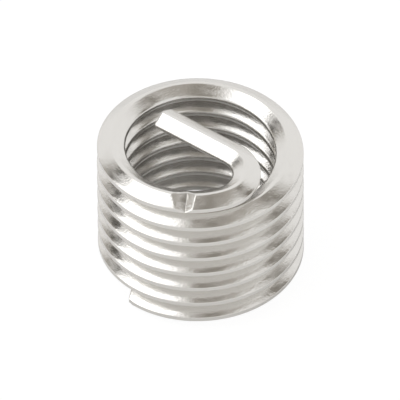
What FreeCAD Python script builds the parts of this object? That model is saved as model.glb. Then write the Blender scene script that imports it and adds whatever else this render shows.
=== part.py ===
"""Helical thread insert, wound from one length of diamond-section wire.

Millimetres. The insert stands on its plain end, with its axis on +Z and its tang at the top, and the
origin is on the axis at the lowest point. Azimuths are in degrees from +X, anticlockwise seen from
above. The wire climbs that way, so the thread is right-hand.

From the bottom up the wire is a close coil of constant diameter, a lead turn that draws in a little,
a tight bend, and a straight tang across the bore. The break-off notch crosses the lead turn.
"""
import FreeCAD, Part
import math
import os
import Sketcher

Vector = FreeCAD.Vector
Rotation = FreeCAD.Rotation
Placement = FreeCAD.Placement

UP = Vector(0, 0, 1)

# Driving dimensions: name, value, what it measures
DIMENSIONS = [
    ("coil_diameter", 6.8, "outside diameter of the free coil, over the crests"),
    ("coil_turns", 6.819, "turns from the cut end, at its outer crest, to the lead turn"),
    ("coil_gap", 0.020, "clearance between one turn and the next"),
    ("wire_width", 0.70, "axial width of the wire over its sharp shoulders"),
    ("flank_angle", 60.0, "angle between the two flanks of a thread"),
    ("outer_flat", 0.15, "flat on the crest that grips the tapped hole"),
    ("inner_flat", 0.175, "crest of the screw's thread, over its sharp edges"),
    ("shoulder_radius", 0.14, "rounding where the flanks meet, between two turns"),
    ("end_skew", 31.0, "angle of the cut end from square, seen from above"),
    ("lead_azimuth", 160.0, "azimuth where the coil goes over into the lead turn"),
    ("lead_inset", 0.126, "how much tighter the lead turn's radius is"),
    ("bend_radius", 1.11, "radius of the bend into the tang, at the wire's centre"),
    ("tang_azimuth", 144.2, "azimuth that the tang points to"),
    ("tang_offset", 0.07, "distance of the tang's centre line from the axis"),
    ("tang_reach", 1.60, "length of the tang past the axis"),
    ("notch_angle", 103.0, "angle from the start of the lead turn to the notch"),
    ("notch_depth", 0.17, "depth of the notch in the middle of the flank"),
    ("notch_tilt", 8.0, "how much the root of the notch dips towards the bore"),
    ("notch_run_down", 0.36, "width of the notch's long wall, on the coil's side"),
    ("notch_run_up", 0.24, "width of the notch's steep wall, on the tang's side"),
    ("steps_per_turn", 8.0, "swept steps that make up one turn of the coil"),
]

# Values that follow from the driving dimensions: name, type, formula
LAYOUT = [
    # Wire section
    ("half_flank", "Angle", "Dimensions.flank_angle * 1deg / 2"),
    ("width", "Length", "Dimensions.wire_width * 1mm"),
    ("shoulder", "Length", "Dimensions.shoulder_radius * 1mm"),
    ("shoulder_centre", "Length", "width / 2 - shoulder / cos(half_flank)"),
    ("tip_depth", "Length", "width / 2 / tan(half_flank)"),
    ("outer_depth", "Length", "tip_depth - Dimensions.outer_flat * 1mm / 2 / tan(half_flank)"),
    ("outer_rise", "Length", "Dimensions.outer_flat * 1mm / 2"),
    ("inner_depth", "Length", "tip_depth - Dimensions.inner_flat * 1mm / 2 / tan(half_flank)"),
    # Each shoulder is rounded in two facets that meet in a ridge. A facet turns twice this angle.
    ("facet_turn", "Angle", "half_flank / 3"),
    ("facet_reach", "Length", "shoulder / cos(facet_turn)"),
    ("edge_depth", "Length", "facet_reach * sin(2 * facet_turn)"),
    ("edge_rise", "Length", "shoulder_centre + facet_reach * cos(2 * facet_turn)"),
    ("half_width", "Length", "shoulder_centre + facet_reach"),
    # The inner crest is rounded right over, in three facets about the circle that fits it
    ("crest_turn", "Angle", "(90deg - half_flank) / 4"),
    ("crest_round", "Length", "(tip_depth - inner_depth) * sin(half_flank) / (1 - sin(half_flank))"),
    ("crest_centre", "Length", "inner_depth - crest_round"),
    ("inner_rise", "Length", "crest_round * tan(crest_turn)"),
    ("bevel_depth", "Length", "crest_centre + crest_round / cos(crest_turn) * cos(3 * crest_turn)"),
    ("bevel_rise", "Length", "crest_round / cos(crest_turn) * sin(3 * crest_turn)"),
    ("bevel_tip", "Length", "crest_centre + crest_round / cos(2 * crest_turn)"),
    # Coil
    ("outer_radius", "Length", "Dimensions.coil_diameter * 1mm / 2"),
    ("centre_radius", "Length", "outer_radius - outer_depth"),
    ("inner_radius", "Length", "centre_radius - inner_depth"),
    ("coil_pitch", "Length", "2 * half_width + Dimensions.coil_gap * 1mm"),
    ("climb", "Float", "coil_pitch / (2 * pi * centre_radius)"),
    # Cut end: its face leads back from the outer crest to the bore
    ("skew", "Angle", "Dimensions.end_skew * 1deg"),
    ("centre_lag", "Angle", "asin(outer_radius * sin(skew) / centre_radius) - skew"),
    ("inner_lag", "Angle", "asin(outer_radius * sin(skew) / inner_radius) - skew"),
    # Steps of the coil, counted from below the cut end up to the lead turn
    ("coil_angle", "Angle", "Dimensions.coil_turns * 360deg"),
    ("step_angle", "Angle", "360deg / Dimensions.steps_per_turn"),
    ("step_rise", "Length", "coil_pitch / Dimensions.steps_per_turn"),
    ("step_count", "Integer", "ceil((coil_angle + inner_lag) / step_angle)"),
    ("end_trim", "Angle", "step_count * step_angle - coil_angle"),
    ("lead_start", "Angle", "Dimensions.lead_azimuth * 1deg"),
    ("lead_height", "Length", "half_width + coil_pitch * (coil_angle + centre_lag) / 360deg"),
    ("coil_start", "Angle", "lead_start - step_count * step_angle"),
    ("coil_base", "Distance", "lead_height - step_count * step_rise"),
    # Lead turn, bend and tang in plan: along is the tang's way, across is to the left of it
    ("tang_way", "Angle", "Dimensions.tang_azimuth * 1deg"),
    ("inset", "Length", "Dimensions.lead_inset * 1mm"),
    ("lead_radius", "Length", "centre_radius - inset"),
    ("lead_along", "Distance", "inset * cos(lead_start - tang_way)"),
    ("lead_across", "Distance", "inset * sin(lead_start - tang_way)"),
    ("bend_radius", "Length", "Dimensions.bend_radius * 1mm"),
    ("bend_across", "Distance", "bend_radius - Dimensions.tang_offset * 1mm"),
    ("step_across", "Distance", "bend_across - lead_across"),
    ("step_along", "Distance", "-sqrt((lead_radius - bend_radius)^2 - step_across^2)"),
    ("bend_along", "Distance", "lead_along + step_along"),
    ("bend_turn", "Angle", "atan2(step_across; step_along)"),
    ("bend_start", "Angle", "tang_way + bend_turn"),
    ("lead_angle", "Angle", "bend_start - lead_start"),
    ("bend_angle", "Angle", "270deg - bend_turn"),
    ("lead_rise", "Length", "climb * lead_radius * lead_angle / 180deg * pi"),
    ("bend_rise", "Length", "climb * bend_radius * bend_angle / 180deg * pi"),
    ("bend_height", "Length", "lead_height + lead_rise"),
    ("tang_height", "Length", "bend_height + bend_rise"),
    ("tang_length", "Length", "Dimensions.tang_reach * 1mm - bend_along"),
    ("lead_x", "Distance", "inset * cos(lead_start)"),
    ("lead_y", "Distance", "inset * sin(lead_start)"),
    ("bend_x", "Distance", "bend_along * cos(tang_way) - bend_across * sin(tang_way)"),
    ("bend_y", "Distance", "bend_along * sin(tang_way) + bend_across * cos(tang_way)"),
    # Notch across the upper outer flank of the lead turn
    ("notch_depth", "Length", "Dimensions.notch_depth * 1mm"),
    ("notch_tilt", "Angle", "Dimensions.notch_tilt * 1deg"),
    ("notch_way", "Angle", "lead_start + Dimensions.notch_angle * 1deg"),
    ("notch_out", "Length", "(shoulder * sin(half_flank) + outer_depth) / 2"),
    ("notch_radius", "Length", "lead_radius + notch_out - notch_depth * sin(half_flank)"),
    ("notch_rise", "Length", "climb * lead_radius * Dimensions.notch_angle / 180 * pi"),
    ("notch_sink", "Length", "notch_out * tan(half_flank) + notch_depth * cos(half_flank)"),
    ("notch_height", "Length", "lead_height + notch_rise + width / 2 - notch_sink"),
]

doc = FreeCAD.newDocument("ThreadInsert")
sheet = doc.addObject("Spreadsheet::Sheet", "Dimensions")
for row, (name, value, meaning) in enumerate(DIMENSIONS, start=1):
    sheet.set("A%d" % row, name)
    sheet.set("B%d" % row, str(value))
    sheet.set("C%d" % row, meaning)
    sheet.setAlias("B%d" % row, name)
doc.recompute()

layout = doc.addObject("App::VarSet", "Layout")
for name, kind, formula in LAYOUT:
    layout.addProperty("App::Property" + kind, name, "Layout", "")
    layout.setExpression(name, formula)
doc.recompute()


def plain(name):
    """A length of the layout as a plain number of millimetres."""
    return float(getattr(layout, name).Value)


def bind(feature, **formulas):
    """Ties properties of a feature to the sheet and the layout."""
    for name, formula in formulas.items():
        feature.setExpression(name, formula)


def turned(x, y, z, azimuth, upright=False):
    """Formula of a placement at x, y, z that is turned to an azimuth.

    Upright, a sketch stands in the vertical plane of that azimuth, with its own y axis up.
    """
    turn = "rotation(vector(0; 0; 1); %s)" % azimuth
    if upright:
        turn += " * rotation(vector(1; 0; 0); 90deg)"
    return "placement(vector(%s; %s; %s); %s)" % (x, y, z, turn)


def wire_section(name, place, pointed=False):
    """Diamond section about the wire's centre, with its outer crest towards the sketch's +x.

    The pointed one runs out to sharp crests, which are turned down to their flats afterwards.
    """
    sketch = doc.addObject("Sketcher::SketchObject", name)
    bind(sketch, Placement=place)

    # Corners above the x axis, from the outer crest to the inner one: side, depth, rise
    shoulder = [(1, "edge_depth", "edge_rise"), (0, None, "half_width"), (-1, "edge_depth", "edge_rise"),
                (-1, "bevel_depth", "bevel_rise")]
    if pointed:
        upper = [(1, "tip_depth", None)] + shoulder + [(-1, "bevel_tip", None)]
        mirrored = upper[-2:0:-1]
    else:
        upper = [(1, "outer_depth", "outer_rise")] + shoulder + [(-1, "inner_depth", "inner_rise")]
        mirrored = upper[::-1]

    def corner(side, depth, rise, flip=1):
        return Vector(side * plain(depth) if depth else 0, flip * plain(rise) if rise else 0, 0)

    points = [corner(*row) for row in upper] + [corner(*row, flip=-1) for row in mirrored]
    for index, point in enumerate(points):
        following = points[(index + 1) % len(points)]
        sketch.addGeometry(Part.LineSegment(point, following), False)

    def relate(*words):
        return sketch.addConstraint(Sketcher.Constraint(*words))

    def measure(name, formula, *words):
        sketch.renameConstraint(relate(*words), name)
        sketch.setExpression("Constraints." + name, formula)

    start, end = 1, 2
    origin, x_axis, y_axis = -1, -1, -2
    for index in range(len(points)):
        relate("Coincident", index, end, (index + 1) % len(points), start)
    for index, (side, depth, rise) in enumerate(upper):
        if side == 0:
            relate("PointOnObject", index, start, y_axis)
        else:
            ends = (origin, start, index, start) if side > 0 else (index, start, origin, start)
            measure("depth_%d" % index, "Layout." + depth, "DistanceX", *ends, plain(depth))
        if rise is None:
            relate("PointOnObject", index, start, x_axis)
        else:
            measure("rise_%d" % index, "Layout." + rise,
                    "DistanceY", origin, start, index, start, plain(rise))
    for place_in_row, row in enumerate(mirrored):
        relate("Symmetric", upper.index(row), start, len(upper) + place_in_row, start, x_axis)
    return sketch


def helix(name, radius, rise, angle, place):
    """Arc of a helix about its own vertical axis, which climbs by rise over angle."""
    curve = doc.addObject("Part::Helix", name)
    bind(curve, Radius=radius, Height=rise, Pitch="%s * 360deg / %s" % (rise, angle),
         Placement=place)
    return curve


def sweep(name, section, curve):
    """Wire swept along a helix, its section always in the plane of the helix's axis."""
    doc.recompute()
    wire = doc.addObject("Part::Sweep", name)
    wire.Sections = [section]
    wire.Spine = (curve, ["Edge1"])
    wire.Solid = True
    wire.Frenet = True
    return wire


def drum(name, radius):
    """Upright cylinder tall enough to hold one step of the coil."""
    cylinder = doc.addObject("Part::Cylinder", name)
    bind(cylinder, Radius=radius, Height="Layout.step_rise + 2 * Layout.width",
         Placement=turned("0mm", "0mm", "-Layout.width", "0deg"))
    return cylinder


# One step of the coil, starting at azimuth 0 with the wire's centre at height 0. Its crests are
# turned to true cylinders about the axis.
step_curve = helix("StepCurve", "Layout.centre_radius", "Layout.step_rise", "Layout.step_angle",
                   turned("0mm", "0mm", "0mm", "0deg"))
step_section = wire_section(
    "StepSection", turned("Layout.centre_radius", "0mm", "0mm", "0deg", upright=True), pointed=True)
step_sweep = sweep("StepSweep", step_section, step_curve)
tube = doc.addObject("Part::Cut", "Tube")
tube.Base = drum("TubeOutside", "Layout.outer_radius")
tube.Tool = drum("TubeBore", "Layout.inner_radius")
step = doc.addObject("Part::Common", "CoilStep")
step.Base = step_sweep
step.Tool = tube
step.Refine = False

# Block that takes off the wire behind the skewed plane of the cut end
end_block = doc.addObject("Part::Box", "EndBlock")
bind(end_block,
     Length="2 * Layout.outer_radius",
     Width="2 * Layout.outer_radius",
     Height="3 * Layout.coil_pitch",
     Placement="placement(vector(0mm; 0mm; 0mm); rotation(vector(0; 0; 1); Layout.end_trim))"
               " * " + turned("Layout.outer_radius", "0mm", "0mm", "Layout.skew")
               + " * placement(vector(-Layout.outer_radius; -2 * Layout.outer_radius;"
                 " -Layout.coil_pitch); rotation(vector(0; 0; 1); 0deg))")
doc.recompute()


def raised(shape, steps):
    """Copy of a stretch of coil, moved up the helix by a number of steps."""
    turn = Rotation(UP, steps * plain("step_angle"))
    copy = shape.copy()
    copy.Placement = Placement(UP * (steps * plain("step_rise")), turn).multiply(copy.Placement)
    return copy


def stretch(steps):
    """Coil of a whole number of steps, built by doubling."""
    if steps == 1:
        return step.Shape.Solids[0]
    half = stretch(steps // 2)
    coil = half.fuse(raised(half, steps // 2))
    if steps % 2:
        coil = coil.fuse(raised(stretch(1), steps - 1))
    return coil.Solids[0]


# The coil: two steps at the bottom carry the cut end, and the whole ones stand on them
end_steps = 2
cut_end = stretch(end_steps).cut(end_block.Shape).Solids[0]
whole_steps = stretch(layout.step_count - end_steps)
coil = doc.addObject("Part::Feature", "Coil")
coil.Shape = cut_end.fuse(raised(whole_steps, end_steps)).Solids[0]
bind(coil, Placement=turned("0mm", "0mm", "Layout.coil_base", "Layout.coil_start"))

# The lead turn, tangent to the coil where they meet
lead_curve = helix("LeadCurve", "Layout.lead_radius", "Layout.lead_rise", "Layout.lead_angle",
                   turned("Layout.lead_x", "Layout.lead_y", "Layout.lead_height",
                          "Layout.lead_start"))
lead_section = wire_section(
    "LeadSection",
    turned("Layout.centre_radius * cos(Layout.lead_start)",
           "Layout.centre_radius * sin(Layout.lead_start)",
           "Layout.lead_height", "Layout.lead_start", upright=True))
lead = sweep("Lead", lead_section, lead_curve)

# The bend that turns the wire in across the bore
bend_curve = helix("BendCurve", "Layout.bend_radius", "Layout.bend_rise", "Layout.bend_angle",
                   turned("Layout.bend_x", "Layout.bend_y", "Layout.bend_height",
                          "Layout.bend_start"))
bend_section = wire_section(
    "BendSection",
    turned("Layout.bend_x + Layout.bend_radius * cos(Layout.bend_start)",
           "Layout.bend_y + Layout.bend_radius * sin(Layout.bend_start)",
           "Layout.bend_height", "Layout.bend_start", upright=True))
bend = sweep("Bend", bend_section, bend_curve)

# The tang, which climbs as the coil does and ends square
tang_section = wire_section(
    "TangSection",
    turned("Layout.bend_x + Layout.bend_radius * sin(Layout.tang_way)",
           "Layout.bend_y - Layout.bend_radius * cos(Layout.tang_way)",
           "Layout.tang_height", "Layout.tang_way - 90deg", upright=True))
tang = doc.addObject("Part::Extrusion", "Tang")
tang.Base = tang_section
tang.DirMode = "Custom"
tang.Solid = True
bind(tang, Dir="vector(cos(Layout.tang_way); sin(Layout.tang_way); Layout.climb)",
     LengthFwd="Layout.tang_length * sqrt(1 + Layout.climb^2)")

wire = doc.addObject("Part::MultiFuse", "Wire")
wire.Shapes = [coil, lead, bend, tang]
wire.Refine = False

# The break-off notch: a V whose root runs down the flank, struck a little deeper towards the bore
notch_profile = doc.addObject("Sketcher::SketchObject", "NotchProfile")
bind(notch_profile,
     Placement="placement(vector(Layout.lead_x + Layout.notch_radius * cos(Layout.notch_way);"
               " Layout.lead_y + Layout.notch_radius * sin(Layout.notch_way);"
               " Layout.notch_height); rotation(vector(0; 0; 1); Layout.notch_way + 90deg)"
               " * rotation(vector(1; 0; 0); 90deg + Layout.half_flank - Layout.notch_tilt))")
overshoot = 3
long_run = overshoot * float(sheet.notch_run_down)
steep_run = overshoot * float(sheet.notch_run_up)
notch_top = overshoot * plain("notch_depth")
root = Vector(0, 0, 0)
long_lip = Vector(-long_run, notch_top, 0)
steep_lip = Vector(steep_run, notch_top, 0)
for first, second in ((root, steep_lip), (steep_lip, long_lip), (long_lip, root)):
    notch_profile.addGeometry(Part.LineSegment(first, second), False)
for edge in range(3):
    notch_profile.addConstraint(Sketcher.Constraint("Coincident", edge, 2, (edge + 1) % 3, 1))
notch_profile.addConstraint(Sketcher.Constraint("Coincident", 0, 1, -1, 1))
notch_profile.addConstraint(Sketcher.Constraint("Horizontal", 1))
for name, formula, words in (
        ("top", "%d * Layout.notch_depth" % overshoot,
         ("DistanceY", -1, 1, 0, 2, notch_top)),
        ("steep_run", "%d * Dimensions.notch_run_up * 1mm" % overshoot,
         ("DistanceX", -1, 1, 0, 2, steep_run)),
        ("long_run", "%d * Dimensions.notch_run_down * 1mm" % overshoot,
         ("DistanceX", 1, 2, -1, 1, long_run))):
    notch_profile.renameConstraint(notch_profile.addConstraint(Sketcher.Constraint(*words)), name)
    notch_profile.setExpression("Constraints." + name, formula)
notch_tool = doc.addObject("Part::Extrusion", "NotchTool")
notch_tool.Base = notch_profile
notch_tool.DirMode = "Normal"
notch_tool.Solid = True
notch_tool.Symmetric = True
bind(notch_tool, LengthFwd="2 * Layout.width")

insert = doc.addObject("Part::Cut", "Insert")
insert.Label = "thread_insert"
insert.Base = wire
insert.Tool = notch_tool
insert.Refine = False
doc.recompute()

for item in doc.Objects:
    if "Invalid" in item.State or "Error" in item.State:
        raise RuntimeError("%s did not build: %s" % (item.Name, item.State))
for item in (step, coil, lead, bend, tang, wire, insert):
    if item.Shape.isNull() or not item.Shape.isValid() or len(item.Shape.Solids) != 1:
        raise RuntimeError("%s is not one valid solid" % item.Name)
swept = Part.Compound([coil.Shape, lead.Shape, bend.Shape, tang.Shape]).Volume
if not 0 < swept - insert.Shape.Volume < 0.02 * swept:
    raise RuntimeError("the notch or a joint took off a wrong amount of wire")

os.makedirs("parts", exist_ok=True)
insert.Shape.exportStep(os.path.join("parts", insert.Label + ".step"))
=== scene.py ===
"""Looks of the helical thread insert: the wire as one fine mesh, bright steel, and the studio.

Lengths of the wire are in millimetres, in the frame of the CAD part, and become metres at the end.
Azimuths are in degrees from +X, anticlockwise seen from above.
"""
import math

import bpy
import numpy as np
from mathutils import Matrix, Vector


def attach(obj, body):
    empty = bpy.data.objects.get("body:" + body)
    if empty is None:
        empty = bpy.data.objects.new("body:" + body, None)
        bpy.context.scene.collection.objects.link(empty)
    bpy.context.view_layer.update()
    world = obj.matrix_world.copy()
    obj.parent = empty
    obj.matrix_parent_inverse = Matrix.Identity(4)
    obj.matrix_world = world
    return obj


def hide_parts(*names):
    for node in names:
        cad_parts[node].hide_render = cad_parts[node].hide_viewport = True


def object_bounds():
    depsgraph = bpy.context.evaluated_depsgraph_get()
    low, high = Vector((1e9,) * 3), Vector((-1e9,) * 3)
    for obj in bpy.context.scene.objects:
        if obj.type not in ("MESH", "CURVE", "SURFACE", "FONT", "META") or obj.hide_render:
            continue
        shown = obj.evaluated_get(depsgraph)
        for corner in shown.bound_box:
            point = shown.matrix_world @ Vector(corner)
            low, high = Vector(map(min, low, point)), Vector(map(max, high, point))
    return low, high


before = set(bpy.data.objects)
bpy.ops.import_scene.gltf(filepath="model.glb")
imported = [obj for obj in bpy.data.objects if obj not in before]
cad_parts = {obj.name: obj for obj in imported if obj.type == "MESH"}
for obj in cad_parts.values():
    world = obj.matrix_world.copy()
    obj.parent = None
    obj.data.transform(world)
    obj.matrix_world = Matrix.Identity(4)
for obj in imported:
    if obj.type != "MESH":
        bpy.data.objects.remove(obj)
cad_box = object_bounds()
MM = 0.001

# Wire and coil, as in the CAD part
OUTER_RADIUS = 3.4
COIL_TURNS = 6.819
COIL_GAP = 0.020
WIRE_WIDTH = 0.70
HALF_FLANK = math.radians(30)
OUTER_FLAT = 0.15
INNER_FLAT = 0.175
SHOULDER_RADIUS = 0.14
END_SKEW = 31.0
LEAD_AZIMUTH = 160.0
LEAD_INSET = 0.126
BEND_RADIUS = 1.11
TANG_AZIMUTH = 144.2
TANG_OFFSET = 0.07
TANG_REACH = 1.60
NOTCH_ANGLE = 103.0
NOTCH_DEPTH = 0.17
NOTCH_TILT = 8.0
NOTCH_RUN_DOWN = 0.36
NOTCH_RUN_UP = 0.24

# Small roundings and the notch's hollow wall, which only the mesh has
OUTER_EDGE_RADIUS = 0.030
INNER_EDGE_RADIUS = 0.15
END_ROUNDING = 0.06
TANG_END_ROUNDING = 0.09
NOTCH_HOLLOW = 0.35
NOTCH_ROOT_ROUND = 0.006

# Degrees between the coil's rings, degrees over which the skewed cut end straightens out, and how many
# rings the other parts of the wire have
COIL_STEP = 3.0
LEAN_ANGLE = 30.0
LEAD_RINGS, BEND_RINGS, TANG_RINGS, NOTCH_RINGS = 44, 44, 24, 101

# How far the notch's own rings reach along the wire, and the least distance of a ring before the bend
NOTCH_REACH = 0.6
LEAST_DISTANCE = 0.02

# Steps that round off the edges of the two end faces, and how far in to its middle a face's rings lie
START_STEPS, TANG_END_STEPS = 3, 6
FACE_SHARES = (0.4, 0.75)

# Pieces of each rounding of the section and of the straight parts between them
EDGE_PIECES, SHOULDER_PIECES, CREST_PIECES = 4, 8, 7
FLAT_PIECES, FLANK_PIECES = 2, 4

outer_depth = (WIRE_WIDTH - OUTER_FLAT) / 2 / math.tan(HALF_FLANK)
inner_depth = (WIRE_WIDTH - INNER_FLAT) / 2 / math.tan(HALF_FLANK)
centre_radius = OUTER_RADIUS - outer_depth
shoulder_centre = WIRE_WIDTH / 2 - SHOULDER_RADIUS / math.cos(HALF_FLANK)
half_width = shoulder_centre + SHOULDER_RADIUS / math.cos(HALF_FLANK / 3)
coil_pitch = 2 * half_width + COIL_GAP
climb = coil_pitch / (2 * math.pi * centre_radius)


def lag(radius):
    """How far behind its outer crest the cut end lies at a radius, in degrees."""
    skew = math.radians(END_SKEW)
    return math.degrees(math.asin(OUTER_RADIUS * math.sin(skew) / radius) - skew)


def azimuth_vector(degrees):
    """Unit vector in plan."""
    angle = math.radians(degrees)
    return np.array([math.cos(angle), math.sin(angle)])


def rounded_outline(corners):
    """Closed outline through corners given as x, y, radius, arc pieces and pieces to the next corner."""
    count = len(corners)
    points = []
    for i in range(count):
        x, y, radius, arc_pieces, line_pieces = corners[i]
        here = np.array([x, y])
        before = np.array(corners[i - 1][:2])
        after = np.array(corners[(i + 1) % count][:2])
        to_before = (before - here) / np.linalg.norm(before - here)
        to_after = (after - here) / np.linalg.norm(after - here)
        half = math.acos(float(np.clip(to_before @ to_after, -1, 1))) / 2
        reach = radius / math.tan(half)
        start = here + to_before * reach
        inward = (to_before + to_after) / np.linalg.norm(to_before + to_after)
        middle = here + inward * radius / math.sin(half)
        first = start - middle
        sweep = math.pi - 2 * half
        for k in range(arc_pieces + 1):
            turn = sweep * k / arc_pieces
            cosine, sine = math.cos(turn), math.sin(turn)
            spoke = (cosine * first[0] - sine * first[1], sine * first[0] + cosine * first[1])
            points.append(middle + np.array(spoke))
        end = points[-1]
        next_radius = corners[(i + 1) % count][2]
        beyond = np.array(corners[(i + 2) % count][:2])
        onward = (beyond - after) / np.linalg.norm(beyond - after)
        next_half = math.acos(float(np.clip(-to_after @ onward, -1, 1))) / 2
        target = after - to_after * next_radius / math.tan(next_half)
        for k in range(1, line_pieces):
            points.append(end + (target - end) * k / line_pieces)
    return np.array(points)


# The wire's section: x points away from the coil's axis and y along it
section = rounded_outline([
    (outer_depth, -OUTER_FLAT / 2, OUTER_EDGE_RADIUS, EDGE_PIECES, FLAT_PIECES),
    (outer_depth, OUTER_FLAT / 2, OUTER_EDGE_RADIUS, EDGE_PIECES, FLANK_PIECES),
    (0, WIRE_WIDTH / 2, SHOULDER_RADIUS, SHOULDER_PIECES, FLANK_PIECES),
    (-inner_depth, INNER_FLAT / 2, INNER_EDGE_RADIUS, CREST_PIECES, FLAT_PIECES),
    (-inner_depth, -INNER_FLAT / 2, INNER_EDGE_RADIUS, CREST_PIECES, FLANK_PIECES),
    (0, -WIRE_WIDTH / 2, SHOULDER_RADIUS, SHOULDER_PIECES, FLANK_PIECES),
])

# Path of the wire in plan
lead_centre = LEAD_INSET * azimuth_vector(LEAD_AZIMUTH)
lead_radius = centre_radius - LEAD_INSET
along = azimuth_vector(TANG_AZIMUTH)
left = azimuth_vector(TANG_AZIMUTH + 90)
bend_across = BEND_RADIUS - TANG_OFFSET
step_across = bend_across - lead_centre @ left
step_along = -math.sqrt((lead_radius - BEND_RADIUS) ** 2 - step_across ** 2)
bend_centre = along * (lead_centre @ along + step_along) + left * bend_across
bend_turn = math.degrees(math.atan2(step_across, step_along))
bend_azimuth = TANG_AZIMUTH + bend_turn
lead_angle = bend_azimuth - LEAD_AZIMUTH
bend_angle = 270 - bend_turn
coil_angle = COIL_TURNS * 360
lead_height = half_width + coil_pitch * (coil_angle + lag(centre_radius)) / 360
lead_length = lead_radius * math.radians(lead_angle)
bend_length = BEND_RADIUS * math.radians(bend_angle)
tang_start = bend_centre - left * BEND_RADIUS
tang_length = TANG_REACH - tang_start @ along
notch_place = lead_radius * math.radians(NOTCH_ANGLE)

rings = []


def add_ring(centre, azimuth, height, outline=section):
    """One ring of the wire about a point in plan, upright in the vertical plane of an azimuth."""
    out = azimuth_vector(azimuth)
    rings.append(np.column_stack([centre[0] + outline[:, 0] * out[0],
                                  centre[1] + outline[:, 0] * out[1],
                                  height + outline[:, 1]]))


def notched(outline, offset):
    """Outline of the wire where the notch crosses it, offset along the wire from the notch's root."""
    run = NOTCH_RUN_UP if offset > 0 else NOTCH_RUN_DOWN
    distance = math.sqrt(offset ** 2 + NOTCH_ROOT_ROUND ** 2) - NOTCH_ROOT_ROUND
    share = distance / run
    hollow = NOTCH_HOLLOW if offset < 0 else 0
    depth = NOTCH_DEPTH * (1 - share) * (1 - hollow * share)
    middle_x = (SHOULDER_RADIUS * math.sin(HALF_FLANK) + outer_depth) / 2
    middle = np.array([middle_x, WIRE_WIDTH / 2 - middle_x * math.tan(HALF_FLANK)])
    flank_normal = np.array([math.sin(HALF_FLANK), math.cos(HALF_FLANK)])
    root_angle = HALF_FLANK - math.radians(NOTCH_TILT)
    normal = np.array([math.sin(root_angle), math.cos(root_angle)])
    level = (middle - flank_normal * NOTCH_DEPTH) @ normal + NOTCH_DEPTH - depth
    above = outline @ normal - level
    cut = np.where(above > 0)[0]
    if len(cut) == 0 or len(cut) == len(outline):
        return outline
    count = len(outline)
    first = next(i for i in cut if above[i - 1] <= 0)
    last = next(i for i in cut if above[(i + 1) % count] <= 0)
    span = (last - first) % count + 1
    before, after = (first - 1) % count, (last + 1) % count
    enter = outline[before] + (outline[first] - outline[before]) * (
        above[before] / (above[before] - above[first]))
    leave = outline[last] + (outline[after] - outline[last]) * (above[last] / (above[last] - above[after]))
    shaped = outline.copy()
    for k in range(span):
        part = k / (span - 1) if span > 1 else 0.5
        shaped[(first + k) % count] = enter + (leave - enter) * part
    return shaped


# Coil, from the cut end up. The first rings lean with the skewed face, and straighten out above it.
tip_azimuth = LEAD_AZIMUTH - coil_angle
radii = centre_radius + section[:, 0]
lags = np.array([lag(r) for r in radii])
coil_rings = int(round(coil_angle / COIL_STEP))
for k in range(coil_rings):
    turned = coil_angle * k / coil_rings
    lean = max(0.0, 1 - turned / LEAN_ANGLE)
    angles = np.radians(tip_azimuth + turned - lags * lean)
    heights = lead_height - coil_pitch * (coil_angle - turned + lags * lean) / 360
    rings.append(np.column_stack([radii * np.cos(angles), radii * np.sin(angles),
                                  heights + section[:, 1]]))

# Lead turn, with close rings about the notch
places = list(np.linspace(0, lead_length, LEAD_RINGS, endpoint=False))
places = [s for s in places if abs(s - notch_place) > NOTCH_REACH]
places += [notch_place + NOTCH_REACH * share * abs(share) for share in np.linspace(-1, 1, NOTCH_RINGS)]
for s in sorted(p for p in places if p < lead_length - LEAST_DISTANCE):
    azimuth = LEAD_AZIMUTH + math.degrees(s / lead_radius)
    near_notch = abs(s - notch_place) < NOTCH_REACH
    outline = notched(section, s - notch_place) if near_notch else section
    add_ring(lead_centre + azimuth_vector(azimuth) * lead_radius, azimuth, lead_height + climb * s, outline)

# Bend and tang
for s in np.linspace(0, bend_length, BEND_RINGS, endpoint=False):
    azimuth = bend_azimuth + math.degrees(s / BEND_RADIUS)
    add_ring(bend_centre + azimuth_vector(azimuth) * BEND_RADIUS, azimuth,
             lead_height + climb * (lead_length + s))
for s in np.linspace(0, tang_length - TANG_END_ROUNDING, TANG_RINGS):
    add_ring(tang_start + along * s, TANG_AZIMUTH - 90,
             lead_height + climb * (lead_length + bend_length + s))


def closing_rings(ring, outward, rounding, steps):
    """Rings that round off the edge of an end face and draw in to its middle."""
    middle = ring.mean(axis=0)
    toward = (middle - ring) / np.linalg.norm(ring - middle, axis=1, keepdims=True)
    made = []
    for k in range(1, steps + 1):
        turn = math.pi / 2 * k / steps
        made.append(ring + outward * rounding * math.sin(turn) + toward * rounding * (1 - math.cos(turn)))
    face = made[-1]
    tip = middle + outward * rounding
    for share in FACE_SHARES:
        made.append(face + (tip - face) * share)
    return made, tip


face_normal = np.array([*azimuth_vector(tip_azimuth + END_SKEW - 90), 0])
rings[0] = rings[0] - face_normal * END_ROUNDING
start_rings, start_tip = closing_rings(rings[0], face_normal, END_ROUNDING, START_STEPS)
tang_way = np.array([*along, climb]) / math.hypot(1, climb)
end_rings, end_tip = closing_rings(rings[-1], tang_way, TANG_END_ROUNDING, TANG_END_STEPS)
rings = start_rings[::-1] + rings + end_rings

count = len(section)
vertices = np.vstack(rings + [start_tip[None], end_tip[None]]) * MM
faces = []
for i in range(len(rings) - 1):
    for j in range(count):
        k = (j + 1) % count
        faces.append((i * count + j, (i + 1) * count + j, (i + 1) * count + k, i * count + k))
start_index = len(rings) * count
last_ring = (len(rings) - 1) * count
for j in range(count):
    k = (j + 1) % count
    faces.append((start_index, j, k))
    faces.append((start_index + 1, last_ring + k, last_ring + j))

mesh = bpy.data.meshes.new("insert_wire")
mesh.from_pydata(vertices.tolist(), [], faces)
mesh.validate()
mesh.polygons.foreach_set("use_smooth", [True] * len(mesh.polygons))

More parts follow.
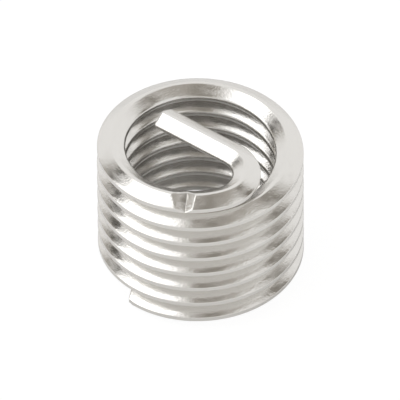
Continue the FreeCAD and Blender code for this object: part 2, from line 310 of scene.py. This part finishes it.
# Each point's place on the wire, for the grain: millimetres along it and across its section
middles = np.array([ring.mean(axis=0) for ring in rings])
travelled = np.concatenate([[0], np.cumsum(np.linalg.norm(np.diff(middles, axis=0), axis=1))])
spread = np.linalg.norm(section - section.mean(axis=0), axis=1)
wire_places = []
for ring, middle, distance in zip(rings, middles, travelled):
    size = np.linalg.norm(ring - middle, axis=1) / spread
    wire_places += [(distance, x, y) for x, y in section * size[:, None]]
wire_places += [(travelled[0], 0, 0), (travelled[-1], 0, 0)]
attribute = mesh.attributes.new("wire_place", "FLOAT_VECTOR", "POINT")
attribute.data.foreach_set("vector", np.array(wire_places).ravel())
mesh.update()
wire = bpy.data.objects.new("insert_wire", mesh)
bpy.context.collection.objects.link(wire)
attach(wire, "root")
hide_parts("thread_insert")


def math_node(tree, operation, *values):
    """Output of a Math node whose inputs are numbers or the outputs of other nodes."""
    node = tree.nodes.new("ShaderNodeMath")
    node.operation = operation
    for socket, value in zip(node.inputs, values):
        if isinstance(value, (int, float)):
            socket.default_value = value
        else:
            tree.links.new(value, socket)
    return node.outputs[0]


# Steel: bright drawn wire, with fine grain, lines along its length and faint waves. Frequencies are
# per millimetre and heights in millimetres.
STEEL_COLOR = (0.777, 0.762, 0.736, 1)
GRAIN = {"along": 13, "across": 20, "detail": 2, "height": 0.0034}
LINES = {"along": 3.5, "across": 16, "detail": 2, "height": 0.0016}
WAVES = {"along": 1.6, "across": 2.6, "detail": 1, "height": 0.0030}

# The outer part of each flank curves outward a little, as the rolls leave it, from a ragged line on.
WORN_FROM, WORN_RAGGED, WORN_CURVE = 0.21, 0.09, 0.12
WORN_LINE = {"along": 4, "across": 6, "detail": 2}

# Roughness, and the noise that it follows
SMOOTH, ROUGH = 0.15, 0.27
SHEEN = {"along": 2.5, "across": 5, "detail": 3}
SHEEN_FROM, SHEEN_TO = 0.35, 0.65

steel = bpy.data.materials.new("bright_steel")
steel.use_nodes = True
nodes = steel.node_tree.nodes
links = steel.node_tree.links
shader = nodes["Principled BSDF"]
shader.inputs["Metallic"].default_value = 1.0
shader.inputs["Base Color"].default_value = STEEL_COLOR
place = nodes.new("ShaderNodeAttribute")
place.attribute_name = "wire_place"


def wire_noise(along, across, detail):
    """Noise with so many features per millimetre along the wire and across it."""
    stretch = nodes.new("ShaderNodeVectorMath")
    stretch.operation = "MULTIPLY"
    stretch.inputs[1].default_value = (along, across, across)
    noise = nodes.new("ShaderNodeTexNoise")
    noise.inputs["Scale"].default_value = 1
    noise.inputs["Detail"].default_value = detail
    links.new(place.outputs["Vector"], stretch.inputs[0])
    links.new(stretch.outputs["Vector"], noise.inputs["Vector"])
    return noise.outputs["Fac"]


bumped = None
for layer in (WAVES, LINES, GRAIN):
    bump = nodes.new("ShaderNodeBump")
    bump.inputs["Strength"].default_value = 1
    bump.inputs["Distance"].default_value = layer["height"] * MM
    links.new(wire_noise(layer["along"], layer["across"], layer["detail"]), bump.inputs["Height"])
    if bumped:
        links.new(bumped, bump.inputs["Normal"])
    bumped = bump.outputs["Normal"]

# The attribute's Y is how far out in the section a point lies
parts = nodes.new("ShaderNodeSeparateXYZ")
links.new(place.outputs["Vector"], parts.inputs[0])
ragged = math_node(steel.node_tree, "MULTIPLY_ADD", wire_noise(**WORN_LINE), WORN_RAGGED,
                   WORN_FROM - WORN_RAGGED / 2)
beyond_line = math_node(steel.node_tree, "SUBTRACT", parts.outputs["Y"], ragged)
worn = math_node(steel.node_tree, "MAXIMUM", beyond_line, 0)
curved = math_node(steel.node_tree, "MULTIPLY", worn, worn)
curl = nodes.new("ShaderNodeBump")
curl.invert = True
curl.inputs["Strength"].default_value = 1
curl.inputs["Distance"].default_value = WORN_CURVE * MM
links.new(curved, curl.inputs["Height"])
links.new(bumped, curl.inputs["Normal"])
links.new(curl.outputs["Normal"], shader.inputs["Normal"])
sheen = nodes.new("ShaderNodeMapRange")
sheen.inputs["From Min"].default_value = SHEEN_FROM
sheen.inputs["From Max"].default_value = SHEEN_TO
sheen.inputs["To Min"].default_value = SMOOTH
sheen.inputs["To Max"].default_value = ROUGH
links.new(wire_noise(**SHEEN), sheen.inputs["Value"])
links.new(sheen.outputs["Result"], shader.inputs["Roughness"])
mesh.materials.append(steel)

# Studio: a white tent with a brighter window on the left and a few darker gaps, and white paper below
TENT = 0.95
GAP_COLOR = (1, 0.90, 0.75, 1)

# Azimuth and elevation of each panel's middle, half its width and height, softness of its edge, all in
# degrees, and its strength
PANELS = [
    (330, 77, 18, 15, 3, 0.43),
    (187, 47, 19, 23, 6, 2.05),
    (207, 12, 21, 15, 7, 1.62),
    (271, 62, 11, 18, 6, 0.27),
    (277, 38, 24, 8, 6, 0.47),
    (7, 46, 7, 15, 4, 0.22),
    (355, 30, 9, 12, 5, 0.14),
    (155, 19, 9, 16, 6, 0.46),
    (154, 39, 7, 9, 4, 0.04),
]

# Depth that stands in for a direction behind a panel's plane, and puts it far outside the panel
BEHIND = 0.001

# The floor: its shade as paper and the white added to it, as a light, in reflections and to the camera,
# then half its side and how far it lies below the insert, in metres
FLOOR_LIGHT = (0.88, 0)
FLOOR_MIRRORED = (0.82, 0.05)
FLOOR_SEEN = (0.11, 0.93)
FLOOR_EDGE = 0.6
FLOOR_DROP = 0.00001


def direction(azimuth, elevation):
    """Unit vector towards an azimuth and elevation in degrees."""
    azimuth, elevation = math.radians(azimuth), math.radians(elevation)
    level = math.cos(elevation)
    return Vector((level * math.cos(azimuth), level * math.sin(azimuth), math.sin(elevation)))


world = bpy.data.worlds.new("studio")
world.use_nodes = True
bpy.context.scene.world = world
sky = world.node_tree
sky.nodes.clear()
toward = sky.nodes.new("ShaderNodeTexCoord").outputs["Generated"]


def along_axis(axis):
    """How far the direction that is looked up points along an axis."""
    node = sky.nodes.new("ShaderNodeVectorMath")
    node.operation = "DOT_PRODUCT"
    sky.links.new(toward, node.inputs[0])
    node.inputs[1].default_value = axis
    return node.outputs["Value"]


def inside(value, limit, softness):
    """1 where the size of value is below limit, falling smoothly to 0 beyond."""
    node = sky.nodes.new("ShaderNodeMapRange")
    node.interpolation_type = "SMOOTHSTEP"
    sky.links.new(math_node(sky, "ABSOLUTE", value), node.inputs["Value"])
    node.inputs["From Min"].default_value = limit - softness
    node.inputs["From Max"].default_value = limit + softness
    node.inputs["To Min"].default_value = 1
    node.inputs["To Max"].default_value = 0
    return node.outputs["Result"]


def panel(below, azimuth, elevation, half_wide, half_high, softness, strength):
    """A soft-edged panel of the tent, mixed over what is below it."""
    ahead = direction(azimuth, elevation)
    across = Vector((-math.sin(math.radians(azimuth)), math.cos(math.radians(azimuth)), 0))
    up = ahead.cross(across)
    depth = math_node(sky, "MAXIMUM", along_axis(ahead), BEHIND)
    soft = math.tan(math.radians(softness))
    sideways = math_node(sky, "DIVIDE", along_axis(across), depth)
    upward = math_node(sky, "DIVIDE", along_axis(up), depth)
    wide = inside(sideways, math.tan(math.radians(half_wide)), soft)
    high = inside(upward, math.tan(math.radians(half_high)), soft)
    cover = math_node(sky, "MULTIPLY", wide, high)
    mix = sky.nodes.new("ShaderNodeMix")
    sky.links.new(cover, mix.inputs["Factor"])
    if isinstance(below, float):
        mix.inputs["A"].default_value = below
    else:
        sky.links.new(below, mix.inputs["A"])
    mix.inputs["B"].default_value = strength
    return mix.outputs["Result"]


glow = TENT
for figures in PANELS:
    glow = panel(glow, *figures)

# The camera sees plain white, and what is dim is also warm
seen = sky.nodes.new("ShaderNodeLightPath")
shown = sky.nodes.new("ShaderNodeMix")
sky.links.new(seen.outputs["Is Camera Ray"], shown.inputs["Factor"])
sky.links.new(glow, shown.inputs["A"])
shown.inputs["B"].default_value = 1
background = sky.nodes.new("ShaderNodeBackground")
tint = sky.nodes.new("ShaderNodeMix")
tint.data_type = "RGBA"
tint.clamp_factor = True
tint.inputs["A"].default_value = GAP_COLOR
tint.inputs["B"].default_value = (1, 1, 1, 1)
sky.links.new(shown.outputs["Result"], tint.inputs["Factor"])
sky.links.new(tint.outputs["Result"], background.inputs["Color"])
sky.links.new(shown.outputs["Result"], background.inputs["Strength"])
sky.links.new(background.outputs[0], sky.nodes.new("ShaderNodeOutputWorld").inputs["Surface"])

floor_mesh = bpy.data.meshes.new("floor")
corners = [(x * FLOOR_EDGE, y * FLOOR_EDGE, 0) for x, y in ((-1, -1), (1, -1), (1, 1), (-1, 1))]
floor_mesh.from_pydata(corners, [], [(0, 1, 2, 3)])
floor = bpy.data.objects.new("floor", floor_mesh)
bpy.context.collection.objects.link(floor)
floor.location.z = cad_box[0][2] - FLOOR_DROP
paper = bpy.data.materials.new("paper")
paper.use_nodes = True
tree = paper.node_tree
tree.nodes.clear()
rays = tree.nodes.new("ShaderNodeLightPath")
seen_directly = math_node(tree, "MAXIMUM", rays.outputs["Is Camera Ray"],
                          rays.outputs["Is Transmission Ray"])


def sheet(shade, white):
    """Paper whose colour takes the shadows, with a white glow added."""
    lit = tree.nodes.new("ShaderNodeBsdfDiffuse")
    lit.inputs["Color"].default_value = (shade, shade, shade, 1)
    shine = tree.nodes.new("ShaderNodeEmission")
    shine.inputs["Strength"].default_value = white
    both = tree.nodes.new("ShaderNodeAddShader")
    tree.links.new(lit.outputs[0], both.inputs[0])
    tree.links.new(shine.outputs[0], both.inputs[1])
    return both.outputs[0]


def choose(switch, otherwise, chosen):
    """One shader where the switch is 0 and another where it is 1."""
    mix = tree.nodes.new("ShaderNodeMixShader")
    tree.links.new(switch, mix.inputs["Fac"])
    tree.links.new(otherwise, mix.inputs[1])
    tree.links.new(chosen, mix.inputs[2])
    return mix.outputs[0]


# White for the camera; in the steel's reflections and as a light it is paper that keeps its shadows
mirrored = choose(rays.outputs["Is Glossy Ray"], sheet(*FLOOR_LIGHT), sheet(*FLOOR_MIRRORED))
surface = choose(seen_directly, mirrored, sheet(*FLOOR_SEEN))
tree.links.new(surface, tree.nodes.new("ShaderNodeOutputMaterial").inputs["Surface"])
floor_mesh.materials.append(paper)

# Camera: the photograph's view, in whose pixels the insert's radius and the width are given. It aims at
# a height on the coil's axis, and stands some pixels aside and up from there.
ELEVATION = math.radians(43.8)
ROLL = math.radians(-0.42)
DISTANCE = 0.55
IMAGE_WIDTH = 400
RADIUS_IN_IMAGE = 103.2
SENSOR_WIDTH = 36
CLIP_START = 0.01
AIM_HEIGHT = 2.466
PIXELS_ASIDE, PIXELS_UP = -0.6, 3.3
PIXEL = OUTER_RADIUS / RADIUS_IN_IMAGE * MM
camera_data = bpy.data.cameras.new("camera")
camera = bpy.data.objects.new("camera", camera_data)
bpy.context.collection.objects.link(camera)
bpy.context.scene.camera = camera
camera_data.sensor_width = SENSOR_WIDTH
camera_data.lens = SENSOR_WIDTH * DISTANCE / (IMAGE_WIDTH * PIXEL)
camera_data.clip_start = CLIP_START
target = Vector((0, 0, AIM_HEIGHT * MM))
view = Vector((0, math.cos(ELEVATION), -math.sin(ELEVATION)))
facing = view.to_track_quat("-Z", "Y").to_matrix() @ Matrix.Rotation(ROLL, 3, "Z")
camera.rotation_euler = facing.to_euler()
camera.location = target - view * DISTANCE + facing @ Vector((PIXELS_ASIDE, PIXELS_UP, 0)) * PIXEL

bpy.context.scene.view_settings.view_transform = "Standard"
